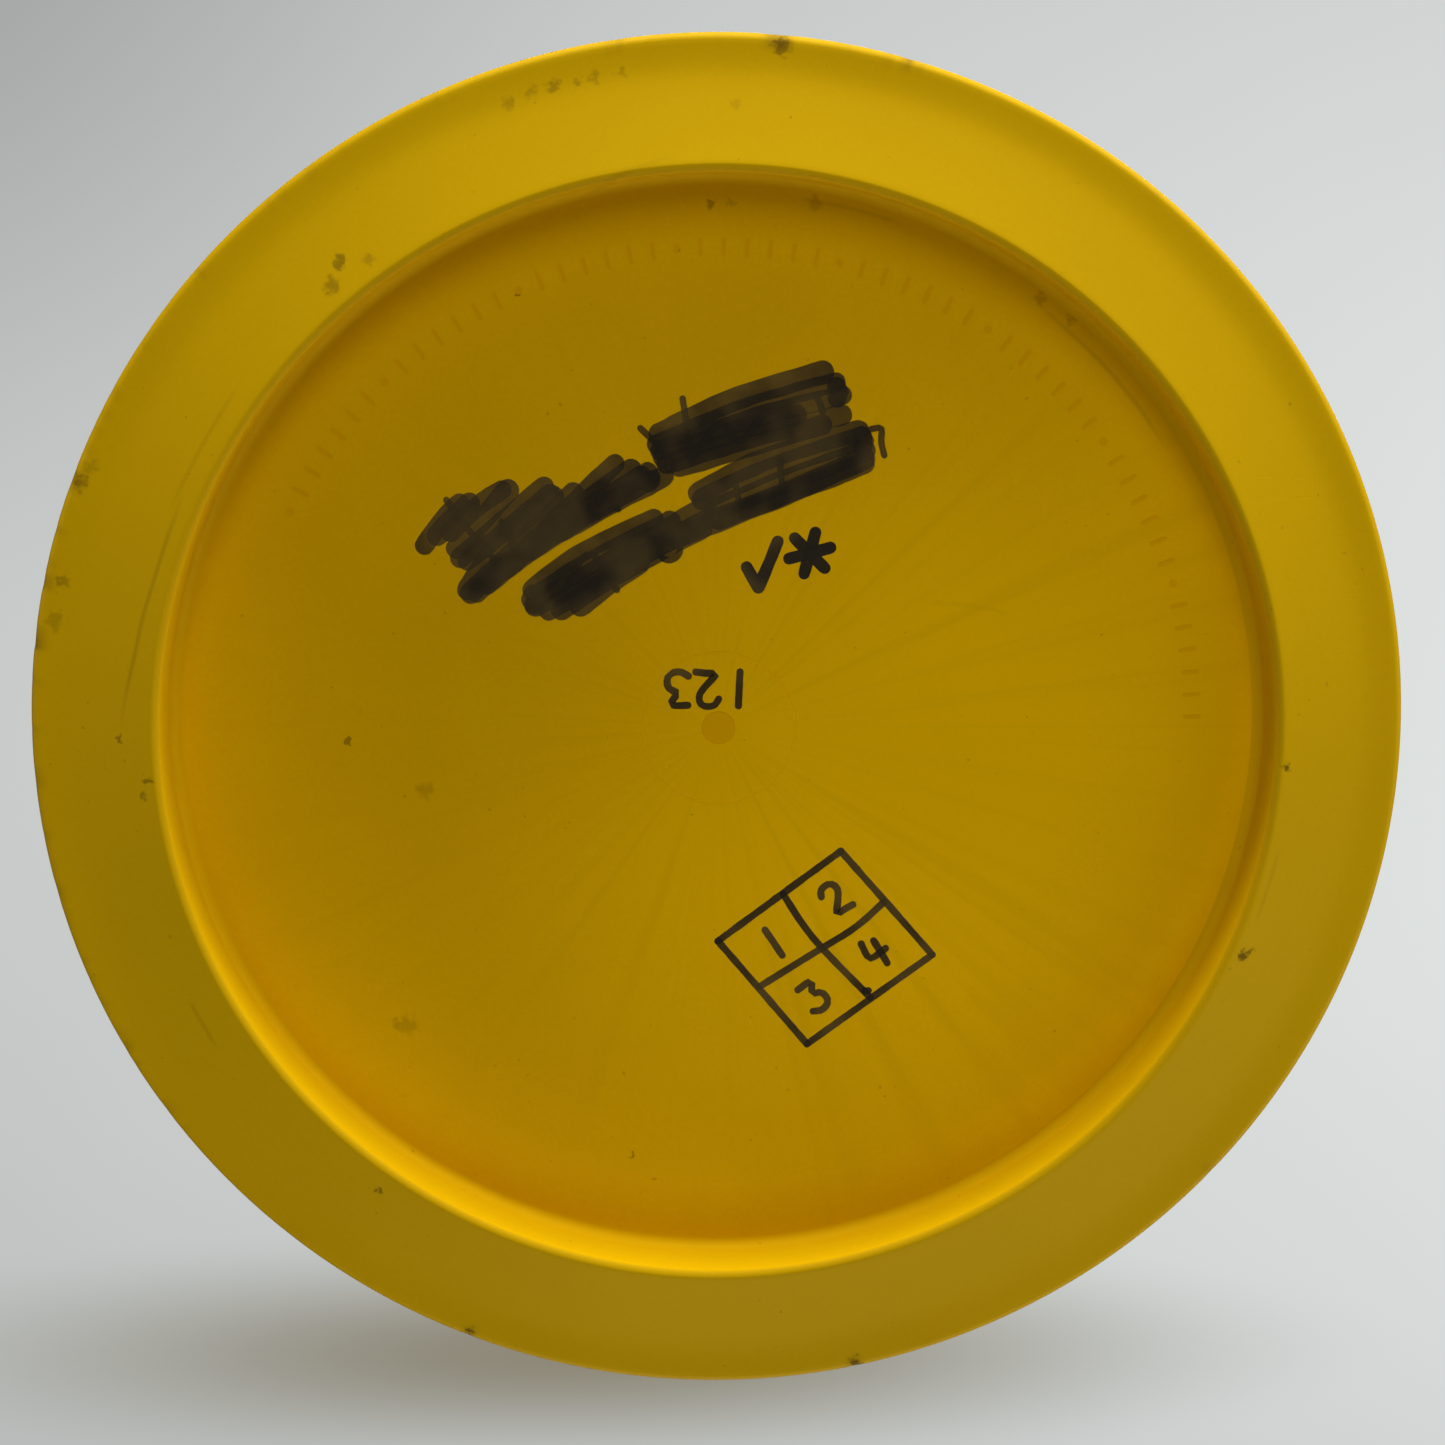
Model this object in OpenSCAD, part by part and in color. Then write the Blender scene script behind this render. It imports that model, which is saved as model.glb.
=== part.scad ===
// Disc-golf driver: one plastic moulding, lying on its rim with the dome up.
// Origin: centre of the rim's flat, on the surface that the disc lies on. +Z is the dome side.

/* [Overall] */
// Outside diameter, nose to nose
disc_d = 211; // [180:1:260]
// Width of the rim, from the nose in to the inside wall
rim_w = 20.1; // [14:0.1:25]
// Depth of the hollow beside the inside wall
rim_depth = 11; // [9:0.1:14]

/* [Flight plate] */
// Thickness of the flight plate
plate_t = 2.35; // [1.8:0.05:3]
// Rise of the plate from the wall to its middle
dome_rise = 1.6; // [1:0.1:4]
// Radius of the fillet between the inside wall and the plate
wall_fillet = 1.6; // [0.8:0.1:2.5]

/* [Rim section] */
// Radius of the rounded nose
nose_r = 1.2; // [0.8:0.1:1.6]
// Height of the nose's centre above the rim's flat
nose_h = 4.5; // [3.5:0.1:5.5]
// Radius of the hollow along the wing's underside
wing_hollow_r = 100; // [60:5:300]
// Radius of the shoulder between the plate and the wing's top
shoulder_r = 16; // [8:1:22]
// Radius of the lip at the foot of the inside wall
lip_r = 1; // [0.6:0.1:1.5]
// Width of the flat ring that the disc rests on
land_w = 1.4; // [0.8:0.1:2.5]

/* [Moulding marks] */
// Diameter of the gate stub at the middle of the underside
gate_d = 5; // [3:0.5:8]
// How far the gate stub stands proud
gate_h = 0.15; // [0.1:0.05:0.3]
// Radius of the witness ring left by the mould's centre insert
insert_r = 12; // [8:0.5:20]
// Width of the witness ring
insert_w = 0.35; // [0.2:0.05:0.8]
// Height of the witness ring and of the raised dashes
witness_h = 0.1; // [0.08:0.02:0.2]
// Gap between the plate's edge and the arc of raised dashes
dash_inset = 8; // [6:0.5:20]
// Length of a raised dash, along the disc's radius
dash_l = 2.8; // [1.5:0.1:4]
// Width of a raised dash
dash_w = 0.6; // [0.4:0.1:1.2]
// Number of places in the arc of raised dashes
dash_count = 56; // [20:1:70]
// Places from one round dot to the next
dot_every = 7; // [3:1:12]
// Angle that the arc of raised dashes covers
dash_arc = 154; // [60:1:200]

/* [Pen marks] */
// Width of the fine pen's line
pen_w = 1.15; // [0.8:0.05:1.5]
// Width of the broad pen's line
broad_pen_w = 2.6; // [1.5:0.1:3]
// Thickness of the ink
ink_t = 0.05; // [0.04:0.01:0.1]
// Height of the written digits
digit_h = 5.4; // [4:0.1:7]
// Long side of the rating grid
grid_l = 24.6; // [20:0.1:28]
// Short side of the rating grid
grid_w = 22.3; // [18:0.1:26]

/* [Hidden] */

$fn = 180;
dome_fn = 3600;   // the dome is so flat that it needs fine steps
bite = 0.001;     // touching outlines run this far into each other, so that they join
disc_yellow = [0.78, 0.58, 0.02];
ink_black = [0.09, 0.08, 0.06];

disc_r = disc_d / 2;
wall_r = disc_r - rim_w;
plate_r = wall_r - wall_fillet;

// The dome's two faces share one centre, so the plate has one thickness.
dome_r_in = (plate_r * plate_r + dome_rise * dome_rise) / (2 * dome_rise);
dome_r_out = dome_r_in + plate_t;
dome_c = [0, rim_depth + dome_rise - dome_r_in];

// Corners of the rim's section, all as [radius, height].
// The shoulder leaves the dome at the plate's edge, and the wing's top is tangent to shoulder and nose.
edge_dir = [plate_r, sqrt(dome_r_out * dome_r_out - plate_r * plate_r)] / dome_r_out;
shoulder_in = dome_c + dome_r_out * edge_dir;
shoulder_c = shoulder_in - shoulder_r * edge_dir;
nose_c = [disc_r - nose_r, nose_h];
to_nose = nose_c - shoulder_c;
wing_top_angle = atan2(to_nose[1], to_nose[0]) + acos((shoulder_r - nose_r) / norm(to_nose));
wing_top_dir = [cos(wing_top_angle), sin(wing_top_angle)];
shoulder_out = shoulder_c + (shoulder_r - bite) * wing_top_dir;
shoulder_end = shoulder_c[0] + shoulder_r * cos(wing_top_angle - 2);
nose_top = nose_c + (nose_r - bite) * wing_top_dir;
land_in = [wall_r + lip_r, 0];
land_out = [wall_r + lip_r + land_w, 0];
lip_c = [land_in[0], lip_r];

// The hollow under the wing touches the nose and ends at the flat's outer edge.
hollow_c = meeting_point(nose_c, wing_hollow_r + nose_r - bite, land_out, wing_hollow_r);
nose_bottom = nose_c + (nose_r + 10 * bite) * unit(hollow_c - nose_c);

grid_c = [16.9, -35.7];      // middle of the rating grid, seen from below
grid_turn = 36.4;            // its long side climbs to the right
digit_gap = 1.6;             // between the feet of two digits
cell_digit_h = digit_h * 0.85;
weight_c = [-1.6, 6.2];      // middle of the weight digits, seen from below

function unit(v) = v / norm(v);

// The lower of the two points that lie ra from a and rb from b
function meeting_point(a, ra, b, rb) =
    let(d = b - a, gap = norm(d), along = (ra * ra - rb * rb + gap * gap) / (2 * gap),
        across = sqrt(ra * ra - along * along), u = d / gap)
    a + along * u + across * [-u[1], u[0]];

module rim_section() {
    difference() {
        union() {
            polygon([[plate_r, rim_depth - wall_fillet], [wall_r, rim_depth - wall_fillet],
                     [wall_r, lip_r], lip_c, land_in, land_out + [10 * bite, 0], nose_bottom, nose_c, nose_top,
                     shoulder_out, [plate_r, rim_depth]]);
            // Under the shoulder's arc, which runs a little way on below the wing's top
            intersection() {
                translate(shoulder_c) circle(r = shoulder_r);
                translate([plate_r, rim_depth]) square([shoulder_end - plate_r, shoulder_r]);
            }
            translate(nose_c) circle(r = nose_r);
            translate(lip_c) circle(r = lip_r);
        }
        translate(hollow_c) circle(r = wing_hollow_r, $fn = 720);
        translate([plate_r, rim_depth - wall_fillet]) circle(r = wall_fillet);
    }
}

module rim() {
    color(disc_yellow) rotate_extrude() rim_section();
}

// The part of the dome's section between two radii about its centre, out to a distance from the axis
module dome_section(inner, outer, reach) {
    intersection() {
        translate(dome_c) difference() {
            circle(r = outer, $fn = dome_fn);
            circle(r = inner, $fn = dome_fn);
        }
        square([reach, rim_depth + dome_rise + plate_t + 1]);
    }
}

module flight_plate() {
    color(disc_yellow) rotate_extrude() dome_section(dome_r_in, dome_r_out, plate_r);
}

// Raises a flat drawing, seen from below, from the plate's underside by a small height
module on_underside(height) {
    intersection() {
        rotate_extrude() dome_section(dome_r_in - height, dome_r_in, plate_r - 0.5);
        mirror([1, 0, 0]) linear_extrude(rim_depth + dome_rise + 1) children();
    }
}

module gate_stub() {
    color(disc_yellow) rotate_extrude() dome_section(dome_r_in - gate_h, dome_r_in, gate_d / 2);
}

module insert_ring() {
    color(disc_yellow) rotate_extrude() difference() {
        dome_section(dome_r_in - witness_h, dome_r_in, insert_r + insert_w / 2);
        square([insert_r - insert_w / 2, rim_depth + dome_rise + 1]);
    }
}

module raised_dashes() {
    color(disc_yellow) on_underside(witness_h)
        for (i = [0 : dash_count - 1])
            rotate((i + 0.5) * dash_arc / dash_count) translate([plate_r - dash_inset - dash_l / 2, 0])
                if (i % dot_every == dot_every - 1) circle(r = dash_w, $fn = 24);
                else square([dash_l, dash_w], center = true);
}

// A chisel pen's line through a row of points: each run reaches half a width past its ends
module pen_line(points, w) {
    for (i = [1 : len(points) - 1]) {
        run = points[i] - points[i - 1];
        translate(points[i - 1]) rotate(atan2(run[1], run[0]))
            translate([-w / 2, -w / 2]) square([norm(run) + w, w]);
    }
}

// Side-by-side strokes from a to b, with ends that step back and forth as a hand's do
module crossed_out(a, b, strokes) {
    along = unit(b - a);
    across = [-along[1], along[0]];
    step = broad_pen_w * 0.75;
    for (i = [0 : strokes - 1]) {
        shift = across * step * (i - (strokes - 1) / 2);
        ragged = along * (i % 2 == 0 ? 1.2 : -1.2);
        pen_line([a + shift + ragged, b + shift + ragged], broad_pen_w);
    }
}

module crossed_out_block() {
    color(ink_black) on_underside(ink_t) {
        crossed_out([-40, 25], [-12, 41], 4);
        crossed_out([-6, 43], [19, 52], 5);
        crossed_out([-27, 21], [22, 44], 4);
    }
}

// Plain digits as rows of points in a box one unit high
function digit_points(n) =
    n == 1 ? [[[0.3, 0], [0.3, 1]]] :
    n == 2 ? [[[0, 0.8], [0.3, 1], [0.6, 0.8], [0.5, 0.5], [0, 0], [0.6, 0]]] :
    n == 3 ? [[[0, 1], [0.6, 1], [0.25, 0.6], [0.6, 0.3], [0.3, 0], [0, 0.1]]] :
             [[[0.1, 1], [0, 0.4], [0.6, 0.4]], [[0.5, 0.9], [0.5, 0]]];

module digit(n, h) {
    for (row = digit_points(n)) pen_line([for (p = row) [p[0] - 0.3, p[1] - 0.5] * h], pen_w);
}

module weight_digits() {
    color(ink_black) on_underside(ink_t)
        translate(weight_c) rotate(180)
            for (i = [0 : 2]) translate([(i - 1) * (digit_h * 0.6 + digit_gap), 0]) digit(i + 1, digit_h);
}

module rating_grid() {
    color(ink_black) on_underside(ink_t)
        translate(grid_c) rotate(grid_turn) {
            for (side = [-1, 0, 1]) {
                pen_line([[-grid_l / 2, side * grid_w / 2], [grid_l / 2, side * grid_w / 2]], pen_w);
                pen_line([[side * grid_l / 2, -grid_w / 2], [side * grid_l / 2, grid_w / 2]], pen_w);
            }
            for (column = [0, 1], row = [0, 1])
                translate([(column - 0.5) * grid_l / 2, (0.5 - row) * grid_w / 2])
                    digit(1 + column + 2 * row, cell_digit_h);
        }
}

rim();
flight_plate();
gate_stub();
insert_ring();
raised_dashes();
crossed_out_block();
weight_digits();
rating_grid();
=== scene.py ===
"""A disc-golf driver lying on its rim: one plastic moulding, with pen marks on its hollow side."""
import math
import random
from itertools import accumulate

import bmesh
import bpy
from mathutils import Matrix, Vector, noise


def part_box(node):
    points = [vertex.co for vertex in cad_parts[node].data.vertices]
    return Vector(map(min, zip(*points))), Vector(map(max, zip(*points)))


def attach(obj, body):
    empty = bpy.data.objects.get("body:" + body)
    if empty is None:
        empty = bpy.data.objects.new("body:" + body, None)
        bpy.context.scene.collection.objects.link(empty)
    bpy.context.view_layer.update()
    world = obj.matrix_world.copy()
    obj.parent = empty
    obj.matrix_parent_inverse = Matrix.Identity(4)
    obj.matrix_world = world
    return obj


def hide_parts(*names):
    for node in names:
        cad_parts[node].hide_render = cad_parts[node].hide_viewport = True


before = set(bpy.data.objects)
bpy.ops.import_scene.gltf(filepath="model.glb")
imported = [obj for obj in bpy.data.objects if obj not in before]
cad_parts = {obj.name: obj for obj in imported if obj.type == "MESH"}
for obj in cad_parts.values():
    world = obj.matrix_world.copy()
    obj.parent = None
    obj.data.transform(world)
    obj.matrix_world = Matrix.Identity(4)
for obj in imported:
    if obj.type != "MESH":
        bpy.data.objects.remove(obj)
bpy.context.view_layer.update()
scene = bpy.context.scene

# Camera: it stands under the disc and looks up into the hollow side, ten degrees off square.
mm = 0.001
camera = bpy.data.objects.new("camera", bpy.data.cameras.new("camera"))
camera.data.lens = 64.5
camera.data.sensor_width = 36
camera.matrix_world = (
    Matrix.Translation(Vector((5.87, 73.31, -388.1)) * mm)
    @ Matrix.Rotation(math.radians(179.07), 4, "Y")
    @ Matrix.Rotation(math.radians(-10.25), 4, "X")
)
scene.collection.objects.link(camera)
scene.camera = camera
scene.view_settings.view_transform = "Standard"


# Rim: the thick, wing-shaped outer ring of the moulding, in yellow plastic.
# It comes out of the same mould as the flight plate, so the two meet with no gap or step.
# Its underside flattens towards the nose, which is nicked and dirty from use.
rim_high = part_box("rim")[1]
plate_low, plate_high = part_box("flight_plate")
disc_r = round(rim_high.x, 5)
plate_r = round(plate_high.x, 5)
hollow_depth = round(plate_low.z, 5)
plate_t = 2.35 * mm
dome_rise = round(plate_high.z, 5) - hollow_depth - plate_t
dome_r = (plate_r**2 + dome_rise**2) / (2 * dome_rise)
dome_c = Vector((0, hollow_depth + dome_rise - dome_r))
wall_fillet = 1.6 * mm
nose_r = 1.2 * mm
nose_h = 4.5 * mm
shoulder_r = 16 * mm
lip_r = 1 * mm
lip_tilt = math.radians(13)
nose_tilt = math.radians(4)
slope_ease = 0.3
knee_r = 99.8 * mm
knee_soft = 0.9 * mm
knee_drop = 0.58
flash_h = 0.05 * mm
flash_turn = 0.35
flash_half_turn = 0.1
round_steps = 720
sectors = 12
crease = math.radians(40)


class Value:
    """A socket of a node tree: arithmetic on it adds Math nodes, and node() adds any other node."""

    def __init__(self, tree, socket=None):
        self.tree = tree
        self.socket = socket

    def node(self, kind, settings, sockets, out=0):
        made = self.tree.nodes.new(kind)
        for name, setting in settings.items():
            setattr(made, name, setting)
        for name, value in sockets.items():
            if isinstance(value, Value):
                self.tree.links.new(value.socket, made.inputs[name])
            else:
                made.inputs[name].default_value = value
        return Value(self.tree, made.outputs[out] if made.outputs else None)

    def maths(self, operation, *values):
        return self.node("ShaderNodeMath", {"operation": operation}, dict(enumerate(values)))

    def __add__(self, other):
        return self.maths("ADD", self, other)

    __radd__ = __add__

    def __sub__(self, other):
        return self.maths("SUBTRACT", self, other)

    def __rsub__(self, other):
        return self.maths("SUBTRACT", other, self)

    def __mul__(self, other):
        return self.maths("MULTIPLY", self, other)

    __rmul__ = __mul__

    def __pow__(self, other):
        return self.maths("POWER", self, other)


def noise_at(place, scale, detail=2, stretch=(1, 1, 1), turn=0):
    """Noise with so many lumps per metre, stretched and turned about Z."""
    laid = place.node("ShaderNodeMapping", {}, {0: place, 2: (0, 0, math.radians(turn)), 3: stretch})
    return place.node("ShaderNodeTexNoise", {}, {"Vector": laid, "Scale": scale, "Detail": detail})


def step(value, low, high):
    """0 below low, 1 above high and a smooth rise between."""
    sockets = {0: value, 1: low, 2: high}
    return value.node("ShaderNodeMapRange", {"interpolation_type": "SMOOTHSTEP"}, sockets)


def blend(amount, first, second):
    """From the first colour to the second."""
    return amount.node("ShaderNodeMix", {"data_type": "RGBA"}, {0: amount, 6: first, 7: second}, 2)


def clamped(value):
    """The value, held between 0 and 1."""
    return value.node("ShaderNodeClamp", {}, {0: value})


def axis_of(vector, axis):
    """One number of a vector: 0 is X, 1 is Y and 2 is Z."""
    return vector.node("ShaderNodeSeparateXYZ", {}, {0: vector}, axis)


def flattened(place):
    """The place with its height left out."""
    return place.node("ShaderNodeVectorMath", {"operation": "MULTIPLY"}, {0: place, 1: (1, 1, 0)})


def seen(u, v):
    """A place in millimetres as it is seen from below, where X runs to the left."""
    return Vector((-u, v)) * mm


def away_from(flat, u, v):
    """Distance of a flattened place from a place in millimetres, seen from below."""
    return flat.node("ShaderNodeVectorMath", {"operation": "DISTANCE"}, {0: flat, 1: (*seen(u, v), 0)}, 1)


def spots(place, marks):
    """Soft-edged marks: each is where its middle lies, seen from below, and its radius, all in mm."""
    ragged = place.node("ShaderNodeTexNoise", {}, {"Vector": place, "Scale": 900, "Detail": 2}, 1)
    shift = place.node("ShaderNodeVectorMath", {"operation": "SUBTRACT"}, {0: ragged, 1: (0.5, 0.5, 0.5)})
    warp = {"operation": "MULTIPLY_ADD"}
    warped = place.node("ShaderNodeVectorMath", warp, {0: shift, 1: (3 * mm, 3 * mm, 0), 2: place})
    flat = flattened(warped)
    total = 0
    for u, v, radius, strength in marks:
        total = total + strength * (1 - step(away_from(flat, u, v), 0.3 * radius * mm, radius * mm))
    return total


def scuffs(place, lines):
    """Soft curved lines: the centre and radius of each bend, the line's middle and half length, in mm."""
    flat = flattened(place)
    total = 0
    for bend, radius, middle, half_length, strength in lines:
        wander = 0.5 * mm * (noise_at(flat, 120, 1) - 0.5)
        off_line = flat.maths("ABSOLUTE", away_from(flat, *bend) - radius * mm + wander)
        line = 1 - step(off_line, 0.05 * mm, 0.55 * mm)
        near = 1 - step(away_from(flat, *middle), 0.5 * half_length * mm, half_length * mm)
        total = total + strength * line * near
    return total


# rim_yellow and rim_light_yellow are the rim's hollow side: painted darker, as shade, than the dome side's
# tones.
rim_yellow = (0.568, 0.323, 0, 1)
rim_light_yellow = (0.635, 0.378, 0, 1)
wall_painted_light_yellow = (0.66, 0.368, 0, 1)
dome_yellow = (0.64, 0.355, 0, 1)
dome_light_yellow = (0.76, 0.43, 0, 1)
grime_and_shade_brown = (0.11, 0.052, 0.004, 1)
grime_and_shade_cover = 0.85
painted_light_level = 0.86
painted_shade_fall = 0.75


def disc_plastic(name, deep, light, marks=(), lines=(), flow=0.0, heart=None, wall=None):
    """The disc's plastic: clouded yellow with fine grain, hair scratches, specks and grimy marks, and painted
    light and shade on its hollow side.

    marks and lines: dirt on the hollow side, as spots() and scuffs() take it
    flow: how strongly the flow lines show
    heart: place and reach of the plate's painted light, in mm: its middle is painted lighter and its edge
    darker
    wall: painted light, a lighter colour laid over the top of the inside wall
    """
    material = bpy.data.materials.new(name)
    material.use_nodes = True
    tree = material.node_tree
    tree.nodes.clear()
    place = Value(tree).node("ShaderNodeTexCoord", {}, {}, "Object")
    clouds = noise_at(place, 22, 3)
    grain = noise_at(place, 1500, 2)
    peel = noise_at(place, 420, 2)
    specks = step(noise_at(place, 900, 1), 0.775, 0.81)
    long_scratches = step(noise_at(place, 40, 1, (60, 1.2, 1), 35), 0.70, 0.76)
    cross_scratches = step(noise_at(place, 45, 1, (1.2, 60, 1), 20), 0.71, 0.76)
    patchy = step(noise_at(place, 18, 1), 0.5, 0.62)
    scratches = (long_scratches + cross_scratches) * patchy
    nick_dirt_and_lip_shade = place.node("ShaderNodeAttribute", {"attribute_name": "nick_dirt_and_lip_shade"}, {}, "Fac")
    facing = place.node("ShaderNodeNewGeometry", {}, {}, "Normal")
    on_dome = step(axis_of(facing, 2), 0, 0.35)
    # This carries the dirt of marks, scuffs, nicks and specks, and also the painted shade on the lip.
    grime_and_lip_shade = clamped((spots(place, marks) + scuffs(place, lines)) * (1 - on_dome) + nick_dirt_and_lip_shade + specks * 0.35)
    shade = clouds + 0.5 * (grain - 0.5)
    dome_tone = blend(shade, dome_yellow, dome_light_yellow)
    # Painted light in the plate's middle, falling to painted shade towards its edge.
    if heart:
        u, v, reach = heart
        fall = painted_shade_fall * step(away_from(flattened(place), u, v), 0.15 * reach * mm, reach * mm)
        shade = painted_light_level + 0.4 * (shade - 0.5) - fall
    tone = blend(shade, deep, light)
    if flow:
        angle = place.maths("ARCTAN2", axis_of(place, 1), axis_of(place, 0))
        around = place.node("ShaderNodeCombineXYZ", {}, {0: angle * 5, 1: clouds * 0.6})
        rays = place.node("ShaderNodeTexNoise", {}, {"Vector": around, "Scale": 3, "Detail": 5})
        tone = blend(step(rays, 0.45, 0.75) * flow, tone, deep)
    # Painted light: the inside wall is made lighter from the nose's height up to near the plate.
    if wall:
        tone = blend(step(axis_of(place, 2), nose_h, hollow_depth - 0.5 * mm), tone, wall)
    # Painted shade: the side that faces up keeps the plastic's plain tone, while the hollow side's tone is
    # painted darker on the rim and lighter in the plate's middle.
    colour = blend(grime_and_lip_shade * grime_and_shade_cover, blend(on_dome, tone, dome_tone), grime_and_shade_brown)
    bump_height = grain * 0.2 + peel * 0.5 - scratches * 0.6 - grime_and_lip_shade * 0.5
    bump = place.node("ShaderNodeBump", {}, {"Height": bump_height, "Distance": 0.03 * mm, "Strength": 0.35})
    skin = {
        "Base Color": colour,
        "Roughness": 0.54 - 0.3 * on_dome + 0.1 * clouds + 0.2 * grime_and_lip_shade + 0.08 * scratches,
        "Normal": bump,
        "IOR": 1.46,
        "Specular IOR Level": 0.35,
        "Specular Tint": (1, 0.78, 0.02, 1),
    }
    shader = place.node("ShaderNodeBsdfPrincipled", {}, skin)
    place.node("ShaderNodeOutputMaterial", {}, {"Surface": shader})
    return material


def arc(centre, radius, start, end, steps):
    """Points along an arc, from and to angles in radians, as radius and height."""
    turns = [start + (end - start) * i / steps for i in range(steps + 1)]
    return [centre + radius * Vector((math.cos(turn), math.sin(turn))) for turn in turns]


def row(start, end, steps):
    """Points between two ends, without the ends themselves."""
    return [start.lerp(end, i / steps) for i in range(1, steps)]


def turn_of(line):
    """Angle of a line from the radius direction, in radians."""
    return math.atan2(line.y, line.x)


def spun(outline, closed):
    """Spins an outline of radius and height through one sector, and copies it round into a closed skin."""
    shape = bmesh.new()
    corners = [shape.verts.new((point.x, 0, point.y)) for point in outline]
    pairs = list(zip(corners, corners[1:] + corners[:1]))
    edges = [shape.edges.new(pair) for pair in (pairs if closed else pairs[:-1])]
    sector = math.tau / sectors
    bmesh.ops.spin(shape, geom=corners + edges, axis=(0, 0, 1), cent=(0, 0, 0), angle=sector,
                   steps=round_steps // sectors)
    first = shape.verts[:] + shape.edges[:] + shape.faces[:]
    for i in range(1, sectors):
        copied = bmesh.ops.duplicate(shape, geom=first)["geom"]
        turned = [part for part in copied if isinstance(part, bmesh.types.BMVert)]
        bmesh.ops.rotate(shape, verts=turned, cent=(0, 0, 0), matrix=Matrix.Rotation(i * sector, 3, "Z"))
    bmesh.ops.remove_doubles(shape, verts=shape.verts, dist=0.001 * mm)
    bmesh.ops.recalc_face_normals(shape, faces=shape.faces)
    return shape


def finished(name, shape, material):
    """Makes the shape an object at the origin, smooth but for its creases."""
    mesh = bpy.data.meshes.new(name)
    shape.to_mesh(mesh)
    shape.free()
    mesh.shade_smooth()
    mesh.set_sharp_from_angle(angle=crease)
    mesh.materials.append(material)
    piece = bpy.data.objects.new(name, mesh)
    scene.collection.objects.link(piece)
    return piece


# The section, from the plate's edge down the inside wall and out round the wing.
wall_r = plate_r + wall_fillet
edge_dir = Vector((plate_r, math.sqrt((dome_r + plate_t) ** 2 - plate_r**2))) / (dome_r + plate_t)
shoulder_in = dome_c + (dome_r + plate_t) * edge_dir
shoulder_c = shoulder_in - shoulder_r * edge_dir
nose_c = Vector((disc_r - nose_r, nose_h))
to_nose = nose_c - shoulder_c
wing_top = turn_of(to_nose) + math.acos((shoulder_r - nose_r) / to_nose.length)
lip_c = Vector((wall_r + lip_r, lip_r))
lip_foot = lip_c + lip_r * Vector((math.sin(lip_tilt), -math.cos(lip_tilt)))
nose_foot = nose_c + nose_r * Vector((math.sin(nose_tilt), -math.cos(nose_tilt)))


def wing_slope(out):
    """Relative slope of the wing's underside: it eases from the lip out, and drops at a soft knee."""
    past_knee = 1 / (1 + math.exp((knee_r - out) / knee_soft))
    return 1 - slope_ease * (out - lip_foot.x) / (nose_foot.x - lip_foot.x) - knee_drop * past_knee


wing_runs = 26
wing_outs = [lip_foot.x + (nose_foot.x - lip_foot.x) * i / wing_runs for i in range(wing_runs + 1)]
rises = [0] + [wing_slope((a + b) / 2) for a, b in zip(wing_outs, wing_outs[1:])]
steepness = (nose_foot.y - lip_foot.y) / sum(rises)
underwing = [Vector((out, lip_foot.y + steepness * rise)) for out, rise in zip(wing_outs, accumulate(rises))]
flash = nose_c + (nose_r + flash_h) * Vector((math.cos(flash_turn), math.sin(flash_turn)))
section = [Vector((plate_r, hollow_depth))]
section += arc(Vector((plate_r, hollow_depth - wall_fillet)), wall_fillet, turn_of(edge_dir), 0, 8)
section += row(section[-1], Vector((wall_r, lip_r)), 7)
section += arc(lip_c, lip_r, math.pi, 1.5 * math.pi + lip_tilt, 9)
section += underwing[1:-1]
section += arc(nose_c, nose_r, nose_tilt - math.pi / 2, flash_turn - flash_half_turn, 9)
section += [flash]
section += arc(nose_c, nose_r, flash_turn + flash_half_turn, wing_top, 5)
section += row(section[-1], shoulder_c + shoulder_r * Vector((math.cos(wing_top), math.sin(wing_top))), 14)
section += arc(shoulder_c, shoulder_r, wing_top, turn_of(edge_dir), 8)

rim_shape = spun(section, closed=True)

# Nicks round the nose: a few big ones where the disc has met something hard, and many small ones.
# Each has its angle in degrees, and its half width and depth in mm. The lip's inner arc is painted darker, as
# shade that dulls its bright edge.
dice = random.Random(7)
big_nicks = [
    (85.2, 2.8, 0.16), (74.6, 1.2, 0.12), (157.6, 2.4, 0.08), (166.5, 1.8, 0.1), (171.4, 2.2, 0.1),
    (214, 1.5, 0.08), (247.5, 1.2, 0.1), (282, 1.3, 0.12), (318, 1.3, 0.06),
]
small_nicks = [
    (dice.gauss(165, 45) % 360, dice.uniform(0.4, 1.4), dice.uniform(0.01, 0.045)) for i in range(80)
]
lip_painted_shade = 0.34
nick_grime = 7
nose_zone = 2.2 * nose_r
nick_dirt_and_lip_shade_layer = rim_shape.verts.layers.float.new("nick_dirt_and_lip_shade")
for vert in rim_shape.verts:
    out = math.hypot(vert.co.x, vert.co.y)
    from_lip = Vector((out, vert.co.z)) - lip_c
    # Painted shade: darkens the lip's inner arc, in the same layer as the dirt in the nicks.
    if from_lip.x < 0 and from_lip.y < 0:
        vert[nick_dirt_and_lip_shade_layer] = lip_painted_shade * 2 * from_lip.x * from_lip.y / lip_r**2
    if out < disc_r - nose_zone:
        continue
    angle = math.degrees(math.atan2(vert.co.y, -vert.co.x)) % 360
    for middle, half_width, depth in big_nicks + small_nicks:
        gap = abs((angle - middle + 180) % 360 - 180) * math.radians(1) * disc_r / mm
        if gap > half_width:
            continue
        fall = math.cos(gap / half_width * math.pi / 2)
        rough = 0.7 + 0.5 * noise.noise(vert.co * 350)
        near_edge = max(0, 1 - (disc_r - out) / nose_zone)
        bite = depth * mm * fall * rough * near_edge
        vert.co.x *= 1 - bite / out
        vert.co.y *= 1 - bite / out
        vert[nick_dirt_and_lip_shade_layer] = min(1, vert[nick_dirt_and_lip_shade_layer] + nick_grime * depth * fall * near_edge * rough)

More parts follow.
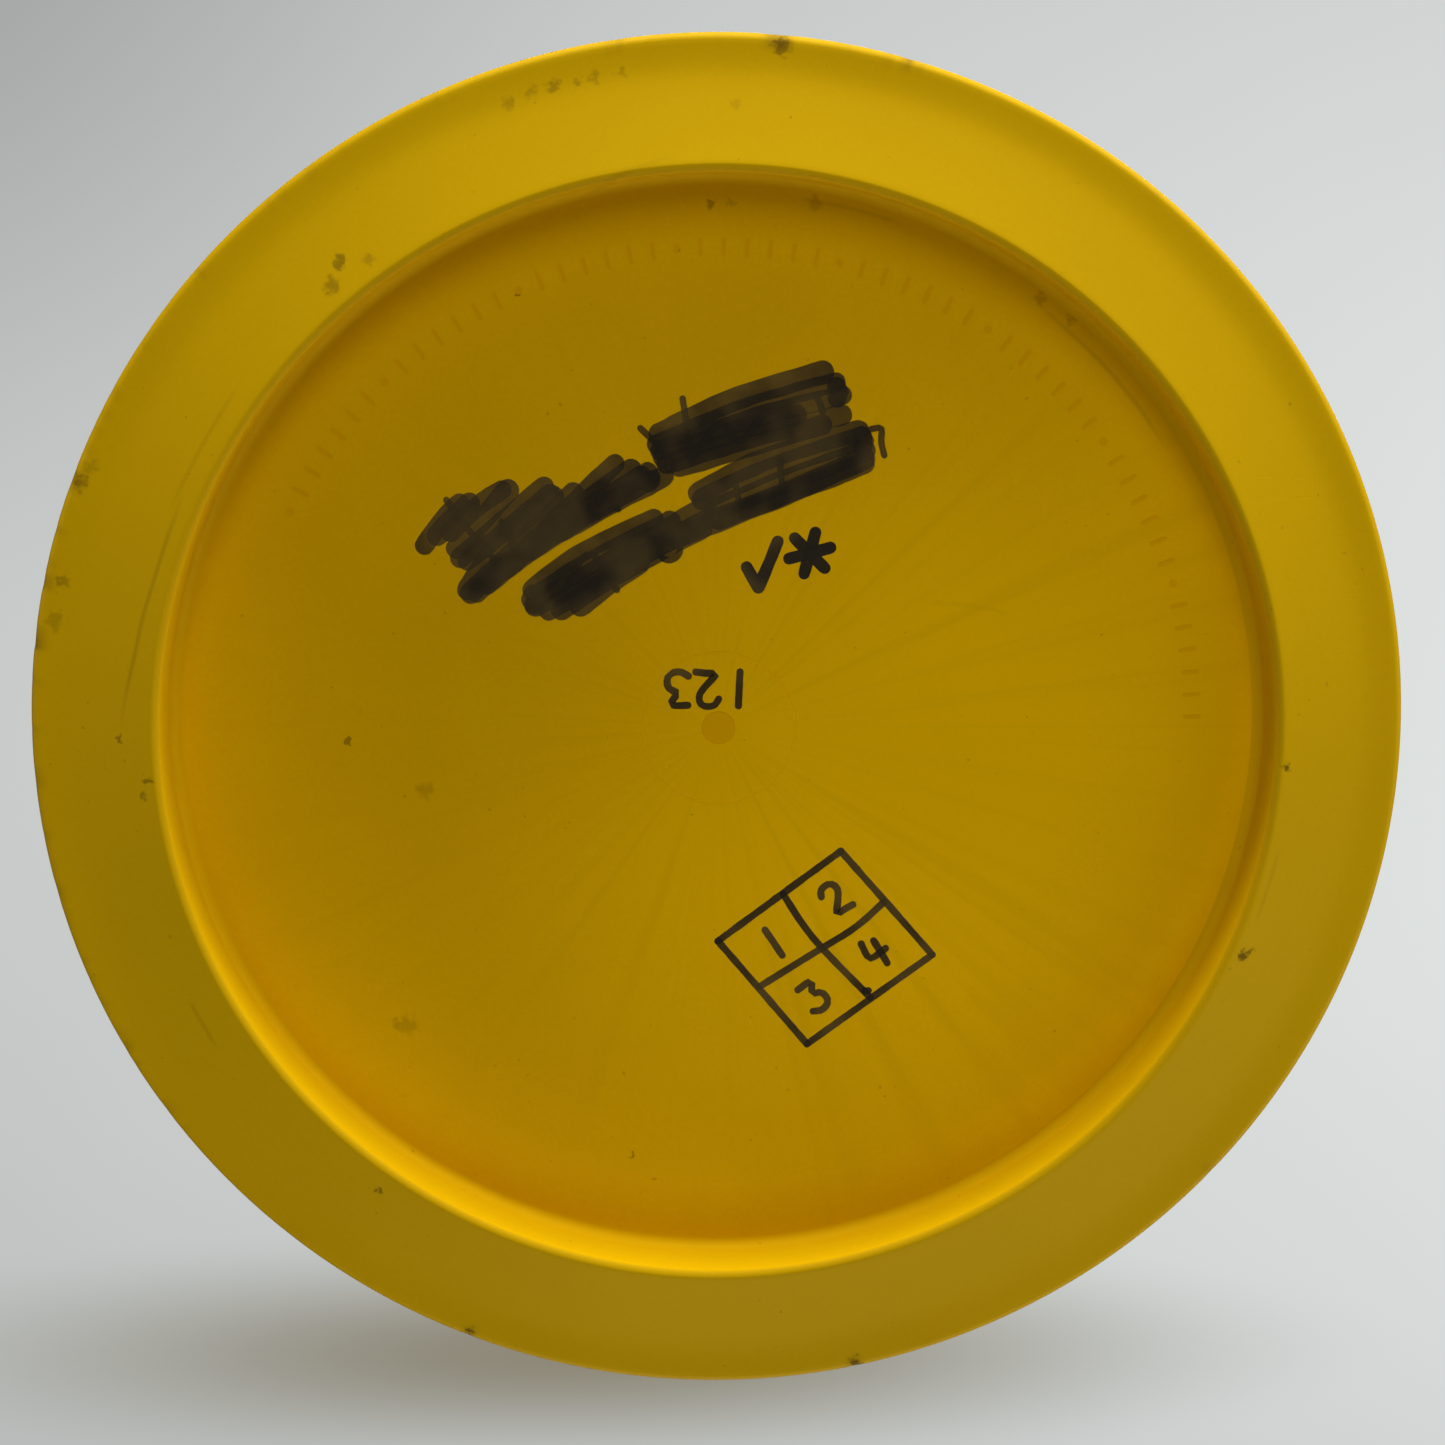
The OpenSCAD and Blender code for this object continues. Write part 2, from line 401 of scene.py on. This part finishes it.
# Marks as middle, radius and strength, and scuffs as bend, radius, middle, half length and strength.
rim_marks = [
    (87.2, -4.1, 0.9, 1), (-56, 72.2, 1.5, 0.7), (-57.3, 68.8, 1.6, 0.55), (-51.6, 72.8, 1.2, 0.4),
    (-40, -96.6, 0.9, 0.7), (21.9, -102.3, 1.3, 0.9), (-96.2, 39.4, 1.6, 0.55), (-94.5, 42, 1.6, 0.3),
    (-99.5, 24.6, 1.3, 0.5), (-100.8, 18.5, 1.9, 0.35), (81.3, -34, 1.0, 1), (82.6, -33.5, 0.8, 0.8),
    (-53.6, -71.7, 0.8, 0.8), (-24.4, 97.6, 1.4, 0.5), (-20.8, 98.2, 1.2, 0.45), (-18.4, 98.9, 1.1, 0.35),
    (-14.5, 99.5, 1.0, 0.35), (-31, 95, 1.3, 0.35), (-27.5, 96.8, 1.3, 0.35), (-87, -5.8, 0.9, 0.7),
    (-88.2, -8.2, 0.7, 0.6), (-91.4, 0.6, 0.6, 0.7), (9.2, 103.2, 1.8, 0.7), (2.5, 95, 1.0, 0.2),
]
rim_scuffs = [
    ((94, -35), 189, (-86.1, 20.6), 20, 0.3), ((0, 0), 89.6, (-77.5, 45), 12, 0.16),
    ((0, 0), 92, (-80.5, -44.5), 5, 0.2), ((10, 30), 60, (-14, 85), 9, 0.1),
    ((0, 0), 88, (85, -22.8), 7, 0.15),
]
rim_plastic = disc_plastic("rim_plastic", rim_yellow, rim_light_yellow, rim_marks, rim_scuffs,
                           wall=wall_painted_light_yellow)
rim = finished("rim_moulding", rim_shape, rim_plastic)
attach(rim, "root")
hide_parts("rim")


# Flight plate: the thin, slightly domed middle of the moulding, in the same yellow plastic.
# Faint flow lines run out from the gate, and the skin undulates a little where the plastic shrank.
ripple = 0.05 * mm


def underside(x, y):
    """Height of the plate's underside: the dome, and the faint ripple that fades towards the rim."""
    out_squared = x * x + y * y
    fade = max(0, 1 - out_squared / plate_r**2)
    dome = dome_c.y + math.sqrt(dome_r**2 - out_squared)
    return dome + ripple * fade * noise.noise(Vector((x, y, 0)) * 32)


lower_skin = [Vector((plate_r * (i / 36), hollow_depth)) for i in range(37)]
upper_turns = arc(dome_c, dome_r + plate_t, turn_of(edge_dir), math.pi / 2, 20)
plate_shape = spun(lower_skin + row(lower_skin[-1], upper_turns[0], 3) + upper_turns, closed=False)
for vert in plate_shape.verts:
    if vert.co.z < hollow_depth + 0.1 * mm:
        vert.co.z = underside(vert.co.x, vert.co.y)
plate_yellow = (0.64, 0.35, 0, 1)
plate_light_yellow = (0.97, 0.54, 0, 1)
# Painted light and shade: the plate's middle is lighter and its edge, under the rim wall, darker. The gate,
# ring and dashes take the same, to match.
plate_painted_light = (34, -10, 84)
plate_marks = [
    (-58.1, -2, 0.7, 0.7), (-46.2, -9.7, 1.7, 0.3), (-49.5, -48, 2.0, 0.3), (-51.5, -48, 1.2, 0.3),
    (-14, -69.6, 0.7, 0.7), (-30.5, 67.5, 0.7, 0.8), (49, 66.5, 1.4, 0.35), (53.7, 63.4, 1.3, 0.35),
    (14.6, 81, 1.4, 0.3), (-1, 80.9, 0.8, 0.6), (2, 80.9, 0.7, 0.3),
]
plate_scuffs = [
    ((0, 0), 81.8, (60, 55.6), 17, 0.22), ((0, 0), 82.6, (20, 80.1), 10, 0.15),
    ((30, -40), 60, (39, 19), 8, 0.08),
]
plate_plastic = disc_plastic("plate_plastic", plate_yellow, plate_light_yellow, plate_marks, plate_scuffs,
                             flow=0.3, heart=plate_painted_light)
plate = finished("flight_plate_moulding", plate_shape, plate_plastic)
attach(plate, "root")
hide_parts("flight_plate")


# Gate stub: the rough round scar at the middle, where the plastic entered the mould and was trimmed.
gate_r = 2.5 * mm
gate_h = 0.15 * mm
gate_draft = 0.12 * mm
gate_root = 0.2 * mm
gate_yellow = (0.66, 0.32, 0, 1)
gate_light_yellow = (0.84, 0.43, 0, 1)
stub_outline = [Vector((gate_r * i / 8, gate_h)) for i in range(9)]
stub_outline += [Vector((gate_r + gate_draft, 0)), Vector((gate_r, -gate_root)), Vector((0, -gate_root))]
stub_shape = spun(stub_outline, closed=False)
for vert in stub_shape.verts:
    below = vert.co.z
    rough = 0.05 * mm * noise.noise(Vector((vert.co.x, vert.co.y, 0)) * 1400) if below > gate_h / 2 else 0
    vert.co.z = underside(vert.co.x, vert.co.y) - below - rough
bmesh.ops.recalc_face_normals(stub_shape, faces=stub_shape.faces)
gate_plastic = disc_plastic("gate_plastic", gate_yellow, gate_light_yellow, heart=plate_painted_light)
stub = finished("gate_scar", stub_shape, gate_plastic)
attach(stub, "root")
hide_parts("gate_stub")


# Witness ring: the hair-thin raised line that the edge of the mould's centre insert leaves.
ring_r = 12 * mm
ring_w = 0.35 * mm
ring_h = 0.1 * mm
ring_root = 0.1 * mm
bead = [Vector((ring_r + ring_w / 2 * math.cos(turn), ring_h * math.sin(turn) - 0.01 * mm))
        for turn in [math.pi * i / 8 for i in range(9)]]
bead += [Vector((ring_r - ring_w / 2, -ring_root)), Vector((ring_r + ring_w / 2, -ring_root))]
ring_shape = spun(bead, closed=True)
for vert in ring_shape.verts:
    vert.co.z = underside(vert.co.x, vert.co.y) - vert.co.z
bmesh.ops.recalc_face_normals(ring_shape, faces=ring_shape.faces)
ring_plastic = disc_plastic("ring_plastic", plate_yellow, plate_light_yellow, heart=plate_painted_light)
ring = finished("witness_ring", ring_shape, ring_plastic)
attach(ring, "root")
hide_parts("insert_ring")


# Raised dashes: a faint arc of low marks cut into the mould, near the plate's edge.
# Each is part of the moulding; they stand in for the maker's raised legend.
dash_l = 2.8 * mm
dash_w = 0.6 * mm
dash_h = 0.1 * mm
dash_r = plate_r - 8 * mm - dash_l / 2
dash_count = 56
dash_arc = 154
dot_every = 7
dash_yellow = (0.62, 0.31, 0, 1)
dash_light_yellow = (0.86, 0.45, 0, 1)
dash_shape = bmesh.new()
for i in range(dash_count):
    spin = Matrix.Rotation(math.radians(180 - (i + 0.5) * dash_arc / dash_count), 4, "Z")
    is_dot = i % dot_every == dot_every - 1
    size = (2 * dash_w, 2 * dash_w) if is_dot else (dash_l, dash_w)
    stretch = Matrix.Diagonal((*size, 2 * dash_h, 1))
    place = spin @ Matrix.Translation((dash_r, 0, 0)) @ stretch
    made = bmesh.ops.create_cube(dash_shape, size=1, matrix=place)["verts"]
    edges = {edge for vert in made for edge in vert.link_edges}
    upright = [e for e in edges if abs(e.verts[0].co.z - e.verts[1].co.z) > dash_h]
    bmesh.ops.bevel(dash_shape, geom=upright, offset=0.45 * min(size), segments=4, profile=0.5,
                    affect="EDGES", material=-1)
for vert in dash_shape.verts:
    vert.co.z = underside(vert.co.x, vert.co.y) + vert.co.z
bmesh.ops.recalc_face_normals(dash_shape, faces=dash_shape.faces)
dash_plastic = disc_plastic("dash_plastic", dash_yellow, dash_light_yellow, heart=plate_painted_light)
dashes = finished("raised_dash_arc", dash_shape, dash_plastic)
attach(dashes, "root")
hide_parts("raised_dashes")


# Crossed-out block: three patches of broad marker strokes that hide what an owner once wrote.
# The ink is a thin brown-black film: streaky, darker where strokes overlap and along their edges.
ink_bite = 0.03 * mm
ink_t = 0.012 * mm
layer_gap = 0.0016 * mm
ink_black = (0.009, 0.0085, 0.0085, 1)
ink_brown = (0.15, 0.098, 0.028, 1)
stroke_dice = random.Random(21)


def marker_ink(name, cover, streak):
    """Thin brown-black ink, whose cover is uneven across a stroke and greater along its edges."""
    material = bpy.data.materials.new(name)
    material.use_nodes = True
    tree = material.node_tree
    tree.nodes.clear()
    stroke = Value(tree).node("ShaderNodeUVMap", {"uv_map": "stroke"}, {})
    place = Value(tree).node("ShaderNodeTexCoord", {}, {}, "Object")
    streaks = noise_at(stroke, 1, 3, (0.05, 3.0, 1))
    blots = noise_at(place, 260, 3)
    patches = step(noise_at(place, 120, 1), 0.38, 0.6)
    grain = noise_at(place, 2600, 1)
    edge = stroke.maths("PINGPONG", axis_of(stroke, 1) + 1, 1)
    pooled = 1 - step(edge, 0.0, 0.35)
    uneven = step(streaks, 0.40, 0.60) * (0.5 + 1.0 * blots)
    alpha = (cover - streak * uneven + 0.1 * pooled) * (0.45 + 0.55 * step(edge, 0, 0.14))
    browned = (uneven - 0.5 * pooled) * (0.25 + 0.9 * patches)
    relief = {"Height": grain + streaks, "Distance": 0.01 * mm, "Strength": 0.4}
    bump = stroke.node("ShaderNodeBump", {}, relief)
    film = {
        "Base Color": blend(browned, ink_black, ink_brown),
        "Roughness": 0.5 + 0.2 * blots,
        "Alpha": clamped(alpha),
        "Normal": bump,
        "Specular IOR Level": 0.12,
    }
    shader = stroke.node("ShaderNodeBsdfPrincipled", {}, film)
    stroke.node("ShaderNodeOutputMaterial", {}, {"Surface": shader})
    return material


def softened(way, rounds):
    """The way with its corners cut off, so many times over."""
    for _ in range(rounds):
        cut = [way[0]]
        for a, b in zip(way, way[1:]):
            cut += [a.lerp(b, 0.25), a.lerp(b, 0.75)]
        way = cut + [way[-1]]
    return way


def draw(film, way, width, layer, rounds=2):
    """A pen line along a way seen from below, in mm: a thin slab, round at both ends."""
    way = softened([Vector(point) for point in way], rounds)
    lengths = [0]
    for a, b in zip(way, way[1:]):
        lengths.append(lengths[-1] + (b - a).length)
    half = width / 2
    whole = lengths[-1] + 2 * half
    columns = max(14, int(whole / (0.3 * width)))
    made = bmesh.ops.create_grid(film, x_segments=columns, y_segments=4, size=1)["verts"]
    faces = {face for vert in made for face in vert.link_faces}
    sheet = film.loops.layers.uv.verify()
    seed = stroke_dice.uniform(0, 100)
    spots_on_way = {}
    for vert in made:
        t = (vert.co.x + 1) / 2
        run = whole * (t - 0.9 * math.sin(math.tau * t) / math.tau) - half
        inside = min(max(run, 0), lengths[-1])
        k = max(i for i, length in enumerate(lengths[:-1]) if length <= inside)
        direction = (way[k + 1] - way[k]).normalized()
        past = run - inside
        middle = way[k] + direction * (inside - lengths[k] + past)
        swell = 1 + 0.1 * noise.noise(Vector((run / width * 0.7, seed, 0)))
        reach_here = half * swell * math.sqrt(max(0, 1 - (past / half) ** 2))
        reach_here *= 1 + 0.05 * noise.noise(Vector((run * 2.5, seed, vert.co.y)))
        spots_on_way[vert] = (run, vert.co.y)
        point = middle + Vector((-direction.y, direction.x)) * reach_here * vert.co.y
        x, y = seen(point.x, point.y)
        vert.co = (x, y, underside(x, y) - ink_t - layer * layer_gap)
    for face in faces:
        for loop in face.loops:
            run, across_here = spots_on_way[loop.vert]
            loop[sheet].uv = (run, across_here + 4 * layer)
    raised = bmesh.ops.extrude_face_region(film, geom=list(faces), use_keep_orig=True)["geom"]
    backs = [vert for vert in raised if isinstance(vert, bmesh.types.BMVert)]
    for vert in backs:
        vert.co.z = underside(vert.co.x, vert.co.y) + ink_bite
    bmesh.ops.remove_doubles(film, verts=made + backs, dist=0.0005 * mm)


broad_w = 3.3
broad_tip_w = 2.8
stray_w = 1.0
bold_strokes = [
    [(-45.5, 29), (-43, 32.5), (-40, 35.5)], [(-43.5, 30.5), (-41, 33), (-38.5, 35.5)],
    [(-41.5, 31), (-37.5, 35), (-33.5, 37.5)], [(-40.5, 28.5), (-35.5, 34), (-32.5, 37.5)],
    [(-40, 27), (-34, 32), (-27, 38)], [(-39, 26.5), (-32.5, 31.5), (-26, 37)],
    [(-39, 22), (-34.5, 29), (-25.5, 36.5)], [(-38.5, 21.5), (-30.5, 29), (-22.5, 37)],
    [(-37.5, 21.5), (-27, 31), (-16, 41.5)], [(-36, 23), (-25.5, 32), (-13.5, 40.5)],
    [(-33, 25.5), (-22.5, 33), (-12, 39.5)], [(-29, 28), (-20.5, 33.5), (-10.5, 39)],
    [(-24.5, 31), (-16.5, 35.5), (-8.5, 39.5)],
    [(-9, 46), (2, 51.5), (16, 55.5)], [(-9.5, 44.5), (3.5, 50), (18, 54)],
    [(-9, 43.5), (4.5, 48.5), (19, 52)], [(-8.5, 42.5), (2, 46.5), (12, 49)],
    [(-8, 41.5), (4.5, 45.5), (19, 49)], [(-6, 41), (4.5, 44), (16, 47.5)],
    [(-3, 37), (7, 42.5), (21.5, 46.5)], [(-2.5, 36), (8.5, 41), (22, 45.5)],
    [(-0.5, 34.5), (11, 39), (22.5, 43.5)],
    [(0, 33), (11.5, 37.3), (22.5, 42.3)], [(-6.5, 30), (8.5, 36), (22.5, 41.5)],
    [(-29, 22), (-21.5, 28), (-10, 33)], [(-29, 20.5), (-19.5, 26.5), (-7.5, 32.5)],
    [(-28.5, 19.5), (-18, 25.5), (-2.5, 34.5)], [(-26.5, 18.8), (-16, 25), (-1.5, 33)],
    [(-24.5, 18.8), (-15, 25), (-2.5, 31.5)], [(-21.5, 19.5), (-17, 23), (-12.5, 26)],
]
block = bmesh.new()
for i, way in enumerate(bold_strokes):
    draw(block, way, broad_w * stroke_dice.uniform(0.9, 1.08), i, 3)
for u, v in [(18.5, 52.5), (22.5, 45), (-28.5, 20.5), (-10.5, 39.5)]:
    draw(block, [(u - 0.4, v + 0.9), (u + 0.3, v), (u - 0.3, v - 1)], broad_tip_w, 32)
stray_lines = [
    [(-42.0, 36.0), (-38.5, 31.0), (-34.5, 26.5)], [(-12.0, 47.0), (-10.8, 45.8), (-9.5, 44.5)],
    [(-5.5, 51.5), (-4.6, 46.0), (-4.2, 41.5)], [(2.5, 39.0), (3.0, 36.3), (3.6, 33.5)],
    [(-1.0, 35.5), (-0.3, 33.5), (-0.1, 31.8)], [(23.5, 46.8), (25.3, 47.2), (25.0, 45.0), (25.6, 42.8)],
    [(-16.0, 22.1), (-15.8, 21.9)], [(-32.5, 26.2), (-31.0, 25.3)],
    [(-33.5, 32.5), (-31.8, 29.0), (-31.0, 26.0)],
    [(15.0, 52.0), (15.6, 50.8), (16.0, 49.5)], [(9.5, 42.0), (9.6, 40.0), (10.0, 37.5)],
    [(-7.5, 29.5), (-9.2, 29.0), (-9.2, 27.3), (-8.0, 26.3), (-6.3, 27.0), (-5.8, 28.5), (-6.8, 29.6)],
    [(-28.0, 30.0), (-24.0, 36.0), (-22.0, 30.5), (-17.5, 38.0), (-15.5, 34.5)],
    [(-24.0, 22.0), (-20.0, 29.0), (-17.0, 23.5), (-12.0, 31.5), (-9.0, 28.5)],
    [(-4.0, 42.5), (0.5, 49.0), (3.0, 43.5), (8.0, 51.0), (11.0, 46.5)],
]
for i, way in enumerate(stray_lines):
    draw(block, way, stray_w, 33 + i)
bmesh.ops.recalc_face_normals(block, faces=block.faces)
crossed_out = finished("crossed_out_strokes", block, marker_ink("broad_marker_ink", 0.88, 0.38))
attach(crossed_out, "root")
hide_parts("crossed_out_block")


# Weight digits: three plain digits in fine marker beside the gate, written the other way up.
fine_w = 1.15
digit_h = 5.4
digit_gap = 1.6
digit_ways = {
    1: [[(0.32, 1), (0.3, 0.5), (0.27, 0)]],
    2: [[(0, 0.8), (0.12, 1.02), (0.5, 1.02), (0.6, 0.72), (0.42, 0.45), (0, 0.02), (0.28, 0.05), (0.66, 0)]],
    3: [[(0, 0.98), (0.6, 1), (0.24, 0.6), (0.6, 0.5), (0.6, 0.08), (0.25, -0.04), (-0.02, 0.12)]],
    4: [[(0.12, 1), (0, 0.42), (0.3, 0.4), (0.66, 0.42)], [(0.5, 0.85), (0.47, 0.4), (0.42, 0)]],
}


def write_digit(film, digit, middle, height, turn, layer):
    """One digit, centred on a place seen from below and turned by an angle in degrees."""
    turned = Matrix.Rotation(math.radians(turn), 2)
    for i, way in enumerate(digit_ways[digit]):
        spaced = [Vector(middle) + turned @ Vector((x - 0.3, y - 0.5)) * height for x, y in way]
        draw(film, spaced, fine_w, layer + i)


weight = bmesh.new()
for i in range(3):
    write_digit(weight, i + 1, (-1.6 - (i - 1) * (digit_h * 0.6 + digit_gap), 6.2), digit_h, 180, 2 * i)
bmesh.ops.recalc_face_normals(weight, faces=weight.faces)
fine_ink = marker_ink("fine_marker_ink", 0.86, 0.12)
weight_digits = finished("weight_digit_lines", weight, fine_ink)
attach(weight_digits, "root")
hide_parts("weight_digits")


# Rating grid: a hand-drawn box of four cells, each with one digit, in the same fine marker.
grid_c = Vector((16.9, -35.7))
grid_turn = 36.4
cell_digit_h = 5.0
grid_corners = [(11.4, 11.2), (13.2, -11.2), (-11.6, -11.2), (-13.0, 11.0), (11.4, 11.2)]
grid_lines = [list(pair) for pair in zip(grid_corners, grid_corners[1:])]
grid_lines += [
    [(-0.1, 11.0), (-0.6, 5), (-0.4, 0), (1.1, -11.0)], [(12.0, 0.4), (6, -0.4), (-0.5, 0.2), (-12.1, 1.0)],
    [(1.0, -9.6), (1.5, -9.9)],
]
grid_turned = Matrix.Rotation(math.radians(grid_turn), 2)
grid = bmesh.new()
for i, way in enumerate(grid_lines):
    draw(grid, [grid_c + grid_turned @ Vector(point) for point in way], fine_w, i)
for i in range(4):
    cell = Vector(((i % 2 - 0.5) * 12.0, (0.5 - i // 2) * 11.0))
    write_digit(grid, i + 1, grid_c + grid_turned @ cell, cell_digit_h, grid_turn, 8 + 2 * i)
bmesh.ops.recalc_face_normals(grid, faces=grid.faces)
rating_grid = finished("rating_grid_lines", grid, fine_ink)
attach(rating_grid, "root")
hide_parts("rating_grid")


# Owner's mark: a plain tick and star in a bolder pen, in the place of the owner's initials.
owner = bmesh.new()
mark_w = 1.9
star_c = Vector((14.2, 27.6))
star_arm = 3.3
draw(owner, [(4.4, 25.4), (6.2, 22.2)], mark_w, 0)
draw(owner, [(6.2, 22.2), (7.6, 25.4), (9.2, 29.4)], mark_w, 1)
for i, turn in enumerate((15, 75, 135)):
    arm = star_arm * Vector((math.cos(math.radians(turn)), math.sin(math.radians(turn))))
    draw(owner, [star_c - arm, star_c + arm], mark_w, 2 + i)
bmesh.ops.recalc_face_normals(owner, faces=owner.faces)
owner_mark = finished("owner_tick_and_star", owner, marker_ink("bold_marker_ink", 0.97, 0.12))
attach(owner_mark, "root")


# Stage: a plain pale floor, a pale studio wall all round, and a backdrop for the view from below.
# Each is seen from one side only and stops no light, so none of them hides or shades the disc.
def one_sided(name, shader_of):
    """A stage material that is clear from behind; shader_of makes its front from the Object place."""
    material = bpy.data.materials.new(name)
    material.use_nodes = True
    tree = material.node_tree
    tree.nodes.clear()
    place = Value(tree).node("ShaderNodeTexCoord", {}, {}, "Object")
    behind = place.node("ShaderNodeNewGeometry", {}, {}, "Backfacing")
    clear = place.node("ShaderNodeBsdfTransparent", {}, {})
    mixed = place.node("ShaderNodeMixShader", {}, {0: behind, 1: shader_of(place), 2: clear})
    place.node("ShaderNodeOutputMaterial", {}, {"Surface": mixed})
    return material


def camera_only(piece):
    """Hides a piece of stage from every ray but the camera's."""
    for ray in ("diffuse", "glossy", "transmission", "volume_scatter", "shadow"):
        setattr(piece, f"visible_{ray}", False)


def stage_plane(name, place, material):
    """A flat square of stage."""
    shape = bmesh.new()
    bmesh.ops.create_grid(shape, x_segments=1, y_segments=1, size=0.5, matrix=place)
    camera_only(finished(name, shape, material))


def wall_glow(place):
    """The plain pale wall, which needs no lamp."""
    tone = blend(noise_at(place, 1, 1), (0.56, 0.56, 0.55, 1), (0.60, 0.60, 0.59, 1))
    return place.node("ShaderNodeEmission", {}, {"Color": tone})


def floor_paint(place):
    """Pale paper, which runs out into the wall's own tone, so that no edge is seen."""
    tone = blend(noise_at(place, 3, 2), (0.62, 0.62, 0.60, 1), (0.66, 0.66, 0.64, 1))
    paper = place.node("ShaderNodeBsdfPrincipled", {}, {"Base Color": tone, "Roughness": 0.6})
    away = place.node("ShaderNodeVectorMath", {"operation": "LENGTH"}, {0: place}, 1)
    return place.node("ShaderNodeMixShader", {}, {0: step(away, 0.25, 0.9), 1: paper, 2: wall_glow(place)})


def backdrop_glow(place):
    """A soft pale sweep, lighter to the right, with the disc's soft warm shadow low down."""
    x = axis_of(place, 0)
    y = axis_of(place, 1)
    dim_corner = step(x, 0, 0.2) * step(y, -0.05, 0.15)
    sweep = 0.66 - 0.4 * x - 2.3 * (y + 0.06) ** 2 - 0.12 * dim_corner + 0.03 * noise_at(place, 7, 2)
    oval = {0: (x - 0.035) * (1 / 0.1), 1: (y + 0.232) * (1 / 0.017)}
    away = place.node("ShaderNodeCombineXYZ", {}, oval)
    shadow = 1 - step(place.node("ShaderNodeVectorMath", {"operation": "LENGTH"}, {0: away}, 1), 0.1, 2.4)
    pale = blend(sweep, (0, 0, 0, 1), (0.965, 1.0, 0.985, 1))
    tint = blend(shadow * 0.85, pale, (0.22, 0.19, 0.12, 1))
    return place.node("ShaderNodeEmission", {}, {"Color": tint})


floor_drop = 0.05 * mm
studio_r = 2.9
floor_place = Matrix.Translation((0, 0, -floor_drop)) @ Matrix.Scale(2 * studio_r, 4)
stage_plane("floor", floor_place, one_sided("floor_paper", floor_paint))
studio = bmesh.new()
bmesh.ops.create_icosphere(studio, subdivisions=5, radius=studio_r)
bmesh.ops.reverse_faces(studio, faces=studio.faces)
camera_only(finished("studio_wall", studio, one_sided("studio_paper", wall_glow)))
facing_down = Matrix.Rotation(math.pi, 4, "X")
backdrop_place = Matrix.Translation((0, -0.05, 0.3)) @ facing_down @ Matrix.Scale(0.56, 4)
stage_plane("backdrop", backdrop_place, one_sided("backdrop_paper", backdrop_glow))


# Lights: soft boxes. Eight light the hollow side. Four of those are low strips just under the disc's
# plane, which bring out the wing's slope. Two more light the dome side from above.
def soft_box(name, direction, distance, width, height, power):
    """A lamp that lies in a direction from the disc and faces it: sizes in metres, power in watts."""
    lamp = bpy.data.objects.new(name, bpy.data.lights.new(name, "AREA"))
    lamp.data.shape = "RECTANGLE"
    lamp.data.size = width
    lamp.data.size_y = height
    lamp.data.energy = power
    lamp.visible_camera = False
    toward = Vector(direction).normalized()
    facing_disc = toward.to_track_quat("Z", "Y").to_matrix().to_4x4()
    lamp.matrix_world = Matrix.Translation(toward * distance) @ facing_disc
    scene.collection.objects.link(lamp)


soft_box("upper_front_box", (0, 0.57, -0.82), 1.0, 0.45, 0.45, 3.0)
soft_box("lower_front_box", (0, -0.57, -0.82), 1.0, 0.45, 0.45, 1.55)
soft_box("corner_front_box", (-0.61, -0.61, -0.5), 1.0, 0.45, 0.45, 1.2)
soft_box("side_box", (0.99, 0, -0.14), 1.0, 0.45, 0.26, 1.6)
soft_box("ceiling_strip", (0, 1, -0.065), 1.0, 0.45, 0.12, 10.2)
soft_box("window_strip", (-0.7, 0.7, -0.065), 1.0, 0.45, 0.12, 6.3)
soft_box("table_strip", (0, -1, -0.065), 1.0, 0.45, 0.12, 1.9)
soft_box("corner_strip", (-0.7, -0.7, -0.065), 1.0, 0.45, 0.12, 2.2)
soft_box("dome_key", (-0.3, 0.45, 1.6), 1.0, 0.5, 0.5, 5.5)
soft_box("dome_fill", (0.35, -0.4, 1.6), 1.2, 0.7, 0.7, 4)
world = bpy.data.worlds.new("studio")
world.use_nodes = True
world.node_tree.nodes["Background"].inputs["Color"].default_value = (0.9, 0.95, 1, 1)
world.node_tree.nodes["Background"].inputs["Strength"].default_value = 0.01
scene.world = world
